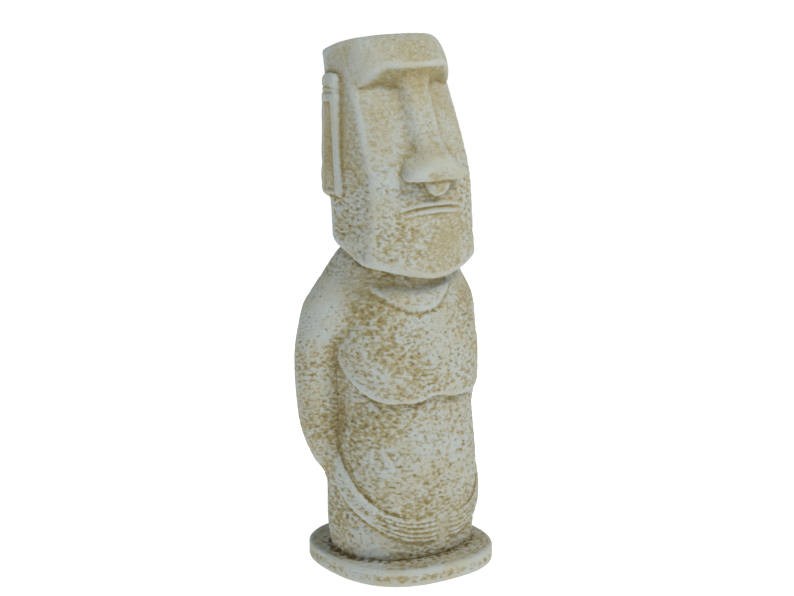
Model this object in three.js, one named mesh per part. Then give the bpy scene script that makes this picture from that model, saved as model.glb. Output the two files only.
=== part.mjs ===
// A garden ornament: a moai cast in one piece of reconstituted stone, standing on its own thin slab.
// Millimetres, +Z up. The origin is the middle of the slab's underside and the face looks along -Y.
//
// The whole figure is one implicit solid: blocks, lofts and limbs are joined by smooth unions, and the skin
// is found by casting rays from a bent axis inside the figure, one ray for each crossing of a grid.
import * as THREE from "three";

// Driving sizes
const FIGURE_HEIGHT = 505;
const SLAB_THICKNESS = 17;
const SLAB_MARGIN_SIDE = 13;
const SLAB_MARGIN_FRONT = 25;
const SLAB_MARGIN_BACK = 29;
const SLAB_EDGE_ROUND = 3;
const FOOT_GROOVE = 4;

// The skin's grid
const COLUMNS = 56;
const FRONT_CROWDING = 0.36;
const ROW_STEP = 8;
const FINE_ROW_STEP = 5;

// The carving is drawn at the size of the model: crown at 522, top of the slab at 17. A figure of another
// height keeps these proportions.
const DRAWN_TOP = 522;
const DRAWN_FOOT = 17;
const share = FIGURE_HEIGHT / (DRAWN_TOP - DRAWN_FOOT);
const fromDrawing = ([x, y, z]) => [
  x * share,
  y * share,
  SLAB_THICKNESS + (z - DRAWN_FOOT) * share,
];

const clamp = (value, low, high) => Math.min(Math.max(value, low), high);
const mix = (a, b, t) => a + (b - a) * t;
const ease = (low, high, value) => {
  const t = clamp((value - low) / (high - low), 0, 1);
  return t * t * (3 - 2 * t);
};

// Degrees round the figure from the front, the same to either side.
const toTurn = (x, y) =>
  THREE.MathUtils.radToDeg(Math.atan2(Math.abs(x), -y));

// Larger of two distances, with the crease between them rounded over a width k.
function roundMax(a, b, k) {
  const h = Math.max(k - Math.abs(a - b), 0) / k;
  return Math.max(a, b) + (h * h * k) / 4;
}
const roundMin = (a, b, k) => -roundMax(-a, -b, k);

// A smooth curve through stations [height, value, value, ...], read at a height.
function stations(table) {
  const count = table.length;
  return (z) => {
    let i = 0;
    while (i < count - 2 && z > table[i + 1][0]) i++;
    const [low, high] = [table[i], table[i + 1]];
    const before = table[Math.max(i - 1, 0)];
    const after = table[Math.min(i + 2, count - 1)];
    const span = high[0] - low[0];
    const t = clamp((z - low[0]) / span, 0, 1);
    return low.slice(1).map((value, k) => {
      const j = k + 1;
      const slopeLow = ((high[j] - before[j]) / (high[0] - before[0])) * span;
      const slopeHigh = ((after[j] - low[j]) / (after[0] - low[0])) * span;
      const t2 = t * t;
      const t3 = t2 * t;
      return (
        (2 * t3 - 3 * t2 + 1) * value +
        (t3 - 2 * t2 + t) * slopeLow +
        (3 * t2 - 2 * t3) * high[j] +
        (t3 - t2) * slopeHigh
      );
    });
  };
}

// Reach of a superellipse in the direction of (x, y), as a share of the distance of that point.
function reachScale(x, y, width, front, back, squareness) {
  const depth = y < 0 ? front : back;
  const sum =
    Math.abs(x / width) ** squareness + Math.abs(y / depth) ** squareness;
  return sum ** (-1 / squareness);
}

// Distance to a superellipse section: half width, reach to the front and to the back, and squareness.
function section(x, y, width, front, back, squareness) {
  const radius = Math.hypot(x, y);
  if (radius < 1e-6) return -Math.min(width, front, back);
  return radius * (1 - reachScale(x, y, width, front, back, squareness));
}

// Distance to a limb: a chain of balls [x, y, z, radius] joined by cones.
function limb(x, y, z, balls) {
  let nearest = Infinity;
  for (let i = 0; i + 1 < balls.length; i++) {
    const [ax, ay, az, ar] = balls[i];
    const [bx, by, bz, br] = balls[i + 1];
    const [dx, dy, dz] = [bx - ax, by - ay, bz - az];
    const along = (x - ax) * dx + (y - ay) * dy + (z - az) * dz;
    const t = clamp(along / (dx * dx + dy * dy + dz * dz), 0, 1);
    const gap = Math.hypot(x - ax - dx * t, y - ay - dy * t, z - az - dz * t);
    nearest = Math.min(nearest, gap - mix(ar, br, t));
  }
  return nearest;
}

// Distance to an ellipsoid, good near its surface.
function ellipsoid(x, y, z, [cx, cy, cz], [rx, ry, rz]) {
  const [px, py, pz] = [(x - cx) / rx, (y - cy) / ry, (z - cz) / rz];
  const k0 = Math.hypot(px, py, pz);
  const k1 = Math.hypot(px / rx, py / ry, pz / rz);
  return k1 < 1e-9 ? -Math.min(rx, ry, rz) : (k0 * (k0 - 1)) / k1;
}

// Distance to a round wall that reaches furthest forward at x = 0.
const arcWall = (x, y, reach, radius) =>
  Math.hypot(x, y - (radius - reach)) - radius;

// Head: a long block that leans back, wide at the jaw and narrow at the crown.
const JAW_Z = 294;
const MOUTH_Z = 360;
const NOSE_BASE_Z = 388;
const SOCKET_Z = 469;
const BROW_Z = 494;
const headLoft = stations([
  // height, half width, face front, back
  [JAW_Z - 9, 72, 65, 26],
  [JAW_Z + 23, 69, 61, 31],
  [MOUTH_Z, 66, 58, 37],
  [NOSE_BASE_Z, 65, 55, 42],
  [422, 62.5, 42, 48],
  [SOCKET_Z, 56.5, 20, 54],
  [BROW_Z, 54, 6, 58],
  [DRAWN_TOP, 50.5, -12, 67],
]);
const foreheadLoft = stations([
  // height, front, radius of the forehead's round
  [SOCKET_Z - 10, 37, 60],
  [BROW_Z, 35, 60],
  [DRAWN_TOP, 16, 54],
]);
const FACE_ARC = 97;
const BACK_ARC = 170;
const BACK_ROUND = 8;
const CHEEK_ROUND = 4;
const FOREHEAD_ROUND = 9;
const FLARE_BACK = 0.09;
const FLARE_FRONT = 0.19;
// The brow's edge drops by BROW_DROP between these two distances from the middle.
const BROW_DROP = 24;
const BROW_DROP_SPAN = [30, 60];
const CROWN_ROUND_FRONT = 12;
const CROWN_ROUND_BACK = 3.5;
// The crown is highest at CROWN_PEAK_Y and falls off as a square to front and back, and to the sides.
const CROWN_PEAK_Y = -18;
const CROWN_FALL = 0.0032;
const CROWN_FALL_SIDE = 1 / 1500;
// The cove under the brow slopes in by this much for each millimetre down.
const COVE_SLOPE = 0.72;
// The jaw's line is rounded in the middle and rises to the sides, and from JAW_TURN_Y towards the back.
const JAW_ROUND = 22;
const JAW_RISE_SIDE = 0.3;
const JAW_RISE_BACK = 0.42;
const JAW_TURN_Y = -26;

function headBlock(x, y, z) {
  const [width, front, back] = headLoft(z);
  const [browFront, browArc] = foreheadLoft(z);
  const flare = y < 0 ? FLARE_FRONT : FLARE_BACK;
  const side = Math.abs(x) - width - flare * y;
  const rear = arcWall(x, -y, back, BACK_ARC);
  const walls = roundMax(side, rear, BACK_ROUND);
  const face = roundMax(walls, arcWall(x, y, front, FACE_ARC), CHEEK_ROUND);
  const forward = arcWall(x, y, browFront, browArc);
  const forehead = roundMax(walls, forward, FOREHEAD_ROUND);
  const browEdge = BROW_Z - BROW_DROP * ease(...BROW_DROP_SPAN, Math.abs(x));
  const cove =
    (forward + COVE_SLOPE * (browEdge - z)) / Math.hypot(1, COVE_SLOPE);
  const brow = roundMax(forehead, cove, 2);
  const fall = CROWN_FALL * (y - CROWN_PEAK_Y) ** 2 + CROWN_FALL_SIDE * x * x;
  const crown = z - DRAWN_TOP + fall;
  const edge = mix(CROWN_ROUND_FRONT, CROWN_ROUND_BACK, ease(-10, 30, y));
  const block = roundMax(roundMin(face, brow, 3), crown, edge);
  const jawRise =
    JAW_RISE_SIDE * (Math.hypot(x, JAW_ROUND) - JAW_ROUND) +
    JAW_RISE_BACK * Math.max(y - JAW_TURN_Y, 0);
  return roundMax(block, (JAW_Z + jawRise - z) * 0.92, 7);
}

// Nose: a flat-topped bridge that widens to round wings, cut flat below, with a lobe in the middle.
// It melts into the face more softly above the wings than beside them.
const NOSE_BASE_MELT = 4;
const BRIDGE_MELT = 9;
const BRIDGE_FLAT = 5;
const BRIDGE = [
  [0, -17, SOCKET_Z + 12, 10],
  [0, -40, 425, 11],
  [0, -57, NOSE_BASE_Z + 12, 13],
];
// Middle and radii
const NOSE_WING = [
  [19.5, -55, NOSE_BASE_Z + 6],
  [14, 14, 13],
];
const NOSE_TIP = [
  [0, -60, NOSE_BASE_Z + 8],
  [18, 13, 16],
];
const NOSE_LOBE = [
  [0, -61, NOSE_BASE_Z - 1],
  [14, 8.5, 14],
];

function nose(x, y, z) {
  const side = Math.abs(x);
  const ridge = limb(Math.max(side - BRIDGE_FLAT, 0), y, z, BRIDGE);
  const wing = ellipsoid(side, y, z, ...NOSE_WING);
  const tip = ellipsoid(side, y, z, ...NOSE_TIP);
  const body = roundMin(roundMin(ridge, tip, 8), wing, 9);
  const flat = roundMax(body, NOSE_BASE_Z - z, 5);
  const lobe = ellipsoid(side, y, z, ...NOSE_LOBE);
  return roundMin(flat, lobe, 3);
}

// Two thin pressed lips, each a flat ellipsoid bent round the face and arched a little.
const LIP_BEND = 0.0052;
const LIP_ARCH = 0.0035;
const UPPER_LIP = [
  [0, -55.5, MOUTH_Z + 5.5],
  [42, 4.5, 3.5],
];
const LOWER_LIP = [
  [0, -55.5, MOUTH_Z - 1.5],
  [38, 5, 3.5],
];

function lips(x, y, z) {
  const at = [x, y - LIP_BEND * x * x, z + LIP_ARCH * x * x];
  return Math.min(ellipsoid(...at, ...UPPER_LIP), ellipsoid(...at, ...LOWER_LIP));
}

// A long flat ear: a strip that stands proud of the side of the head, leans with it and narrows upwards.
const EAR_TOP = 485;
const EAR_FOOT = 364;
const EAR_REACH = 71;
const EAR_DEPTH = 38;
const EAR_NARROWING = 0.13;
const EAR_FOOT_Y = 16;
const EAR_LEAN = 0.11;
const EAR_TAPER = 0.055;
const EAR_FOOT_ROUND = 18;
const EAR_TOP_ROUND = 7;

function ear(x, y, z) {
  const rise = z - EAR_FOOT;
  const half = (EAR_DEPTH - EAR_NARROWING * rise) / 2;
  const depth = Math.abs(y - EAR_FOOT_Y - EAR_LEAN * rise) - half;
  const outer = Math.abs(x) - EAR_REACH + EAR_TAPER * rise;
  const length = Math.max(-rise, z - EAR_TOP);
  const edge = mix(EAR_FOOT_ROUND, EAR_TOP_ROUND, ease(0, 40, rise));
  return roundMax(roundMax(depth, outer, 5), length, edge);
}

// Body
const FOOT = { width: 73, front: 63, back: 56 };
const bodyLoft = stations([
  // height, half width, front, back, squareness
  [12, FOOT.width - 5, FOOT.front - 5, FOOT.back - 6, 2.2],
  [26, FOOT.width, FOOT.front, FOOT.back, 2.3],
  [60, 75, 66, 58, 2.3],
  [110, 74, 69, 58, 2.3],
  [172, 71, 60, 57, 2.3],
  [215, 74, 58, 58, 2.3],
  [250, 70, 54, 55, 2.2],
  [285, 57, 44, 45, 2.1],
  [312, 51, 40, 34, 2.1],
]);
const BODY_TOP = 312;
const chestLoft = stations([
  [160, 76, 65, 57, 2.3],
  [200, 78, 66, 57, 2.3],
  [238, 76, 61, 54, 2.3],
  [270, 60, 49, 42, 2.2],
  [298, 46, 38, 28, 2.1],
]);
const CHEST_TOP = 298;
const CHEST_EDGE_Z = 175;
// The edge is a little higher in the middle and sweeps up as a square from this many degrees round.
const CHEST_EDGE_ARCH = 5;
const CHEST_SWEEP_FROM = 38;
const CHEST_SWEEP = 0.0165;

function torso(x, y, z) {
  return roundMax(section(x, y, ...bodyLoft(z)), z - BODY_TOP, 10);
}

// The chest is a plate that stands proud of the belly; its edge sweeps up to the armpits.
function chest(x, y, z) {
  const turn = toTurn(x, y);
  const sweep = CHEST_SWEEP * Math.max(turn - CHEST_SWEEP_FROM, 0) ** 2;
  const edge = CHEST_EDGE_Z + CHEST_EDGE_ARCH * (1 - ease(0, 22, turn)) + sweep;
  const plate = section(x, y, ...chestLoft(z));
  return roundMax(roundMax(plate, z - CHEST_TOP, 10), (edge - z) * 0.8, 5);
}

// From the root of the neck to the shoulder.
const SHOULDER = [
  [32, 14, 291, 35],
  [62, 20, 251, 34],
];
const upperArmLoft = stations([
  // height, middle to the side, middle to the back, radius
  [96, 64, 19, 13],
  [110, 70.5, 19, 16],
  [130, 77, 20, 18.5],
  [155, 81.5, 21, 20.5],
  [205, 83, 22, 22],
  [230, 78.5, 21.5, 24.5],
  [252, 69, 20.5, 28],
]);
const ELBOW_Z = 96;
const SHOULDER_Z = 252;
const HAND_TOP_Z = 60;
const HAND_FOOT_Z = 34;
const HAND_PROUD = 3.5;
const ELBOW_PROUD = 5;
const HAND_GAP = 13;
const HAND_GAP_MIDDLE = 5.5;
const FINGERTIP_ROUND = 8;
// The arm ends at this far to the back, and past FOREARM_END degrees it runs level.
const FOREARM_BACK = 12;
const FOREARM_END = 86;
// The forearm's edges rise from the hand as squares, each from its own angle: [from, rise].
const FOREARM_TOP_RISE = [20, 0.0135];
const FOREARM_FOOT_RISE = [8, 0.0085];

const riseBy = ([from, rise], turn) => rise * Math.max(turn - from, 0) ** 2;

// Forearm and hand are one band round the belly: it falls from the elbow and levels off at the fingers.
// The two hands almost meet, a little to the figure's left.
function forearm(x, y, z) {
  const turn = Math.min(toTurn(x, y), FOREARM_END);
  const proud = mix(HAND_PROUD, ELBOW_PROUD, ease(40, 85, turn));
  const shape = section(x, y, ...bodyLoft(z)) - proud;
  const top = HAND_TOP_Z + riseBy(FOREARM_TOP_RISE, turn);
  const foot = HAND_FOOT_Z + riseBy(FOREARM_FOOT_RISE, turn);
  const band = Math.max(z - top, foot - z) * 0.8;
  const fingertip = HAND_GAP / 2 - Math.abs(x - HAND_GAP_MIDDLE);
  const span = Math.max(fingertip, y - FOREARM_BACK);
  return roundMax(roundMax(shape, band, 6), span, FINGERTIP_ROUND);
}

function arm(x, y, z) {
  const side = Math.abs(x);
  const [middleX, middleY, radius] = upperArmLoft(z);
  const round = Math.hypot(side - middleX, y - middleY) - radius;
  const ends = Math.max(ELBOW_Z - z, z - SHOULDER_Z);
  const upper = roundMax(round, ends, 14);
  const rising = roundMin(upper, limb(side, y, z, SHOULDER), 8);
  return roundMin(rising, forearm(x, y, z), 8);
}

// The arm meets the belly and the chest in a crisp groove at the front. It runs smoothly into the back, and
// at the shoulder it melts into the chest and the neck.
function figure(x, y, z) {
  const shoulder = ease(228, 262, z);
  const armpit = mix(3, 18, ease(2, 34, y));
  let body = roundMin(torso(x, y, z), chest(x, y, z), mix(3, 12, shoulder));
  body = roundMin(body, arm(x, y, z), mix(armpit, 16, shoulder));
  let head = headBlock(x, y, z);
  const melt = mix(NOSE_BASE_MELT, BRIDGE_MELT, ease(404, 426, z));
  head = roundMin(head, nose(x, y, z), melt);
  head = roundMin(head, lips(x, y, z), 1.5);
  head = roundMin(head, ear(x, y, z), 2);
  return roundMin(head, body, 5);
}

// Rows of the grid, from the crown down to the slab: [height on the axis, slope of the ray in degrees].
// They fan out from one point in the head, then follow the axis down.
const FAN_Z = 462;
const CROWN_SLOPE = 84;
const UNDERCUT_SLOPE = -20;
const HANDS = [24, 70];
const MOUTH_AND_NOSE = [344, 402];

const rowStep = (z) =>
  [HANDS, MOUTH_AND_NOSE].some(([low, high]) => z > low && z < high)
    ? FINE_ROW_STEP
    : ROW_STEP;

function rowAims() {
  const aims = [];
  for (let slope = CROWN_SLOPE; slope > UNDERCUT_SLOPE; ) {
    aims.push([FAN_Z, slope]);
    slope -= slope > 56 ? 8 : 4.6;
  }
  for (let z = FAN_Z; z > DRAWN_FOOT + 4; z -= rowStep(z))
    aims.push([z, UNDERCUT_SLOPE * ease(40, 190, z)]);
  return aims;
}

// The axis inside the figure bends forward under the chin and back again inside the crown.
const axisY = (z) =>
  mix(0, mix(-12, 14, ease(300, 470, z)), ease(230, 300, z));

// Where a ray from inside meets the skin: coarse steps inwards from well outside, then halving.
function skinPoint(height, slope, turn) {
  const [rise, run] = [Math.sin(slope), Math.cos(slope)];
  const [dx, dy] = [Math.sin(turn) * run, -Math.cos(turn) * run];
  const y0 = axisY(height);
  const at = (t) => [dx * t, y0 + dy * t, height + rise * t];
  let outside = 2 * FOOT.width;
  while (outside > 0 && figure(...at(outside)) > 0) outside -= 2;
  let inside = outside;
  outside += 2;
  for (let i = 0; i < 12; i++) {
    const middle = (inside + outside) / 2;
    if (figure(...at(middle)) > 0) outside = middle;
    else inside = middle;
  }
  return fromDrawing(at(inside));
}

function columnTurn(i) {
  const u = (2 * Math.PI * i) / COLUMNS;
  return u - FRONT_CROWDING * Math.sin(u);
}

// The slab's outline is a squarish oval that stands out from the foot all round.
const SLAB_SQUARENESS = 2.55;
const SLAB_OUTLINE = [
  FOOT.width * share + SLAB_MARGIN_SIDE,
  FOOT.front * share + SLAB_MARGIN_FRONT,
  FOOT.back * share + SLAB_MARGIN_BACK,
  SLAB_SQUARENESS,
];

function slabRow(turn, foot) {
  const [dx, dy] = [Math.sin(turn), -Math.cos(turn)];
  const reach = reachScale(dx, dy, ...SLAB_OUTLINE);
  const at = (r, z) => [dx * r, dy * r, z];
  const start = Math.hypot(foot[0], foot[1]);
  return [
    at(start - FOOT_GROOVE, SLAB_THICKNESS),
    at(mix(start, reach, 0.5), SLAB_THICKNESS),
    at(reach - SLAB_EDGE_ROUND, SLAB_THICKNESS),
    at(reach, SLAB_THICKNESS - SLAB_EDGE_ROUND),
    at(reach, SLAB_EDGE_ROUND),
    at(reach - SLAB_EDGE_ROUND, 0),
  ];
}

// A closed skin: a pole, rings of points, and a second pole.
function closedSkin(rings, first, last) {
  const columns = rings[0].length;
  const points = [first, ...rings.flat(), last];
  const faces = [];
  const end = points.length - 1;
  const index = (row, i) => 1 + row * columns + (i % columns);
  for (let i = 0; i < columns; i++) {
    faces.push(0, index(0, i), index(0, i + 1));
    faces.push(end, index(rings.length - 1, i + 1), index(rings.length - 1, i));
    for (let row = 0; row + 1 < rings.length; row++) {
      const [a, b] = [index(row, i), index(row, i + 1)];
      const [c, d] = [index(row + 1, i), index(row + 1, i + 1)];
      faces.push(a, c, d, a, d, b);
    }
  }
  const geometry = new THREE.BufferGeometry();
  geometry.setAttribute(
    "position",
    new THREE.Float32BufferAttribute(points.flat(), 3),
  );
  geometry.setIndex(faces);
  geometry.computeVertexNormals();
  return geometry;
}

function statueSkin() {
  const turns = Array.from({ length: COLUMNS }, (_, i) => columnTurn(i));
  const rings = rowAims().map(([height, slope]) =>
    turns.map((turn) =>
      skinPoint(height, THREE.MathUtils.degToRad(slope), turn),
    ),
  );
  const foot = rings[rings.length - 1];
  const slab = turns.map((turn, i) => slabRow(turn, foot[i]));
  for (let k = 0; k < slab[0].length; k++)
    rings.push(slab.map((column) => column[k]));
  const crown = skinPoint(FAN_Z, Math.PI / 2, 0);
  return closedSkin(rings, crown, [0, 0, 0]);
}

const statue = new THREE.Group();
const stone = new THREE.MeshStandardMaterial({
  color: 0xb9b59f,
  roughness: 0.9,
  metalness: 0,
});
const moai = new THREE.Mesh(statueSkin(), stone);
moai.name = "moai_statue";
statue.add(moai);

export default statue;
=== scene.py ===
"""A moai garden ornament of cast stone, dressed over its solid.

The figure is one skin. It is drawn in millimetres as an implicit solid, found by rays that start on an
axis inside it, and then tooled: pits, grooves and cuts are pressed into the skin along its normals.
x goes to the figure's left, y to its back and z up, from the middle of the slab's underside.
"""

import logging
import math
from dataclasses import dataclass, field
from enum import Enum
from typing import ClassVar

import bpy
import numpy as np
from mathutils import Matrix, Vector


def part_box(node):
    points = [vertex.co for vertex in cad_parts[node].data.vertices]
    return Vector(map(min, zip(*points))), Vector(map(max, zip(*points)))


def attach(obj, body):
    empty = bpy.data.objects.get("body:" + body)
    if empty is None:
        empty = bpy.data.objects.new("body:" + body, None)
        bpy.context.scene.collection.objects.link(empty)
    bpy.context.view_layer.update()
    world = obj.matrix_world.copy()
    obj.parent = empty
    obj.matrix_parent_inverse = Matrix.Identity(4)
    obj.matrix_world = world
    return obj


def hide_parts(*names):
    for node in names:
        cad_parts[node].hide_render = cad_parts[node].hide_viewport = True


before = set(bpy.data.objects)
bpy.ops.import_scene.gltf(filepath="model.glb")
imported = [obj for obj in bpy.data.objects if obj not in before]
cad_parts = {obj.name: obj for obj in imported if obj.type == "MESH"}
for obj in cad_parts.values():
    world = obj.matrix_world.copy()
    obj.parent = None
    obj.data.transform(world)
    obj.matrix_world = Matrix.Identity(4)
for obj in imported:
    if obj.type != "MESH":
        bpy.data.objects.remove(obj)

LOG = logging.getLogger("statue")
NODE = "moai_statue"
MM = 0.001
AXIS_SOFTNESS = 0.004
Array = np.ndarray
Row = tuple[float, ...]


def ease(low: float, high: float, value: Array) -> Array:
    """A smooth step: 0 below low, 1 above high, and 3t² − 2t³ between.

    Args:
        low: Where the step starts.
        high: Where it ends.
        value: What is stepped.

    Returns:
        The step, from 0 to 1.
    """
    t = np.clip((value - low) / (high - low), 0, 1)
    return t * t * (3 - 2 * t)


def mix(a: Array, b: Array, t: Array) -> Array:
    """Goes from a to b as t goes from 0 to 1."""
    return a + (b - a) * t


def bump(value: Array, width: float) -> Array:
    """A bell of height 1 at value 0, exp(−(value / width)²)."""
    return np.exp(-((value / width) ** 2))


def round_max(a: Array, b: Array, k: Array) -> Array:
    """The larger of two distances, with the crease between them rounded over a width k.

    Within k of each other, the larger gains (k − |a − b|)² / 4k.

    Args:
        a: One distance.
        b: The other.
        k: How wide the rounding is.

    Returns:
        The joint distance.
    """
    h = np.maximum(k - np.abs(a - b), 0) / k
    return np.maximum(a, b) + h * h * k / 4


def round_min(a: Array, b: Array, k: Array) -> Array:
    """The smaller of two distances, with the crease between them filled over a width k."""
    return -round_max(-a, -b, k)


def arc_wall(x: Array, y: Array, reach: Array, radius: Array) -> Array:
    """Distance to a round wall that reaches furthest forward, by reach, at x = 0."""
    return np.hypot(x, y - (radius - reach)) - radius


def turn_of(x: Array, y: Array) -> Array:
    """Degrees round the figure from the front, the same to either side."""
    return np.degrees(np.arctan2(np.abs(x), -y))


def reach_scale(x: Array, y: Array, width: Array, front: Array, back: Array, square: Array) -> Array:
    """Reach of a superellipse in the direction of a point, as a share of the point's distance.

    The outline is |x / width|ⁿ + |y / depth|ⁿ = 1, with a depth of its own in front and behind. A small
    share of the distance is added to each term, so that the outline has no flat spot at the axes.

    Args:
        x, y: Places.
        width: Half width of the outline.
        front: Its reach to the front.
        back: Its reach to the back.
        square: The power n, 2 for an ellipse and more for a squarer outline.

    Returns:
        The share, 1 on the outline.
    """
    a, b = (x / width) ** 2, (y / np.where(y < 0, front, back)) ** 2
    soft = AXIS_SOFTNESS * (a + b)
    total = (a + soft) ** (square / 2) + (b + soft) ** (square / 2)
    return np.maximum(total, 1e-9) ** (-1 / square)


def section(x: Array, y: Array, outline: list[Array]) -> Array:
    """Distance to an upright wall with a superellipse outline, positive outside."""
    return np.hypot(x, y) * (1 - reach_scale(x, y, *outline))


def limb(x: Array, y: Array, z: Array, balls: tuple[Row, ...]) -> Array:
    """Distance to a chain of balls (x, y, z, radius) joined by cones.

    Args:
        x, y, z: Places.
        balls: The balls in order.

    Returns:
        The distance, positive outside.
    """
    nearest = np.full(np.shape(x), np.inf)
    for (ax, ay, az, ar), (bx, by, bz, br) in zip(balls, balls[1:]):
        dx, dy, dz = bx - ax, by - ay, bz - az
        along = (x - ax) * dx + (y - ay) * dy + (z - az) * dz
        t = np.clip(along / (dx * dx + dy * dy + dz * dz), 0, 1)
        gap = np.sqrt((x - ax - dx * t) ** 2 + (y - ay - dy * t) ** 2 + (z - az - dz * t) ** 2)
        nearest = np.minimum(nearest, gap - mix(ar, br, t))
    return nearest


def ellipsoid(x: Array, y: Array, z: Array, middle: Row, radii: Row) -> Array:
    """Distance to an ellipsoid, k₀(k₀ − 1) / k₁, good near its surface.

    Args:
        x, y, z: Places.
        middle: Its centre.
        radii: Its three radii.

    Returns:
        The distance, positive outside.
    """
    px, py, pz = [(v - c) / r for v, c, r in zip((x, y, z), middle, radii)]
    k0 = np.sqrt(px**2 + py**2 + pz**2)
    k1 = np.sqrt((px / radii[0]) ** 2 + (py / radii[1]) ** 2 + (pz / radii[2]) ** 2)
    return k0 * (k0 - 1) / np.maximum(k1, 1e-9)


@dataclass(frozen=True)
class Stations:
    """A smooth curve through rows (height, value, value, ...), read at many heights at once."""

    rows: tuple[Row, ...]

    def at(self, z: Array) -> list[Array]:
        """Reads every value at each height, by cubic Hermite curves between the rows.

        Args:
            z: Heights.

        Returns:
            One array for each value of a row.
        """
        table = np.array(self.rows)
        height, values = table[:, 0], table[:, 1:]
        low = np.clip(np.searchsorted(height, z) - 1, 0, len(height) - 2)
        high = low + 1
        before = np.maximum(low - 1, 0)
        after = np.minimum(low + 2, len(height) - 1)
        span = height[high] - height[low]
        t = np.clip((z - height[low]) / span, 0, 1)
        t2, t3 = t * t, t * t * t
        rise_low = span / (height[high] - height[before])
        rise_high = span / (height[after] - height[low])
        read = []
        for k in range(values.shape[1]):
            v = values[:, k]
            slope_low = (v[high] - v[before]) * rise_low
            slope_high = (v[after] - v[low]) * rise_high
            read.append(
                (2 * t3 - 3 * t2 + 1) * v[low]
                + (t3 - 2 * t2 + t) * slope_low
                + (3 * t2 - 2 * t3) * v[high]
                + (t3 - t2) * slope_high
            )
        return read


def lattice(ix: Array, iy: Array, iz: Array, seed: int) -> Array:
    """A fixed number from 0 to 1 for each whole point of space, by mixing its three indices.

    Args:
        ix, iy, iz: The point's indices.
        seed: Which set of numbers.

    Returns:
        The numbers.
    """
    h = ix.astype(np.uint32) * np.uint32(374761393)
    h = h + iy.astype(np.uint32) * np.uint32(668265263)
    h = h + iz.astype(np.uint32) * np.uint32(2246822519) + np.uint32(seed * 3266489)
    h = (h ^ (h >> np.uint32(13))) * np.uint32(1274126177)
    h = (h ^ (h >> np.uint32(15))) * np.uint32(2654435761)
    return ((h ^ (h >> np.uint32(16))) & np.uint32(0xFFFFFF)) / float(0xFFFFFF)


def noise(points: Array, grain: tuple[float, float, float], seed: int) -> Array:
    """Value noise from 0 to 1: random numbers on a lattice, blended smoothly between its points.

    Args:
        points: Places in space, with x, y and z last.
        grain: The lattice's spacing along each axis, in millimetres.
        seed: Which noise.

    Returns:
        The noise at each place.
    """
    p = points / np.array(grain)
    cell = np.floor(p)
    t = p - cell
    t = t * t * (3 - 2 * t)
    i = cell.astype(np.int64)
    total = np.zeros(points.shape[:-1])
    for corner in range(8):
        step = [corner & 1, corner >> 1 & 1, corner >> 2 & 1]
        shares = [np.where(s, t[..., a], 1 - t[..., a]) for a, s in enumerate(step)]
        corners = [i[..., a] + s for a, s in enumerate(step)]
        total += np.prod(shares, axis=0) * lattice(*corners, seed)
    return total


@dataclass
class Nose:
    """A flat-topped bridge that widens to round wings, cut flat below, with a lobe in the middle."""

    base_z: float = 388
    socket_z: float = 469
    bridge_flat: float = 5
    wing_out: float = 19.5
    wing: Row = (14, 14, 13)
    tip: Row = (18, 13, 16)
    lobe: Row = (14, 8.5, 14)
    tip_melt: float = 10
    wing_melt: float = 9
    base_round: float = 3
    lobe_melt: float = 2

    def distance(self, x: Array, y: Array, z: Array) -> Array:
        """Distance to the nose.

        Args:
            x, y, z: Places.

        Returns:
            The distance, positive outside.
        """
        side = np.abs(x)
        bridge = (
            (0, -17, self.socket_z + 12, 10),
            (0, -40, 425, 11),
            (0, -57, self.base_z + 12, 13),
        )
        ridge = limb(np.maximum(side - self.bridge_flat, 0), y, z, bridge)
        wing = ellipsoid(side, y, z, (self.wing_out, -55, self.base_z + 6), self.wing)
        tip = ellipsoid(side, y, z, (0, -60, self.base_z + 8), self.tip)
        body = round_min(round_min(ridge, tip, self.tip_melt), wing, self.wing_melt)
        flat = round_max(body, self.base_z - z, self.base_round)
        lobe = ellipsoid(side, y, z, (0, -61, self.base_z - 1), self.lobe)
        return round_min(flat, lobe, self.lobe_melt)


@dataclass
class Lips:
    """Two thin pressed lips, each a flat ellipsoid bent round the face and arched a little."""

    mouth_z: float = 360
    bend: float = 0.0052
    arch: float = 0.0035
    lip_y: float = -55.5
    upper_rise: float = 5.5
    upper: Row = (44, 4.4, 3.0)
    lower_drop: float = 1.5
    lower: Row = (38, 5, 3.0)
    slit_rise: float = 2.2

    def distance(self, x: Array, y: Array, z: Array) -> Array:
        """Distance to the nearer lip.

        Args:
            x, y, z: Places.

        Returns:
            The distance, positive outside.
        """
        square = x * x
        y, z = y - self.bend * square, z + self.arch * square
        upper = ellipsoid(x, y, z, (0, self.lip_y, self.mouth_z + self.upper_rise), self.upper)
        lower = ellipsoid(x, y, z, (0, self.lip_y, self.mouth_z - self.lower_drop), self.lower)
        return np.minimum(upper, lower)

    def slit(self, x: Array, z: Array) -> Array:
        """Height above the line between the lips, which is arched as they are."""
        return z - self.mouth_z - self.slit_rise + self.arch * x * x


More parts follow.
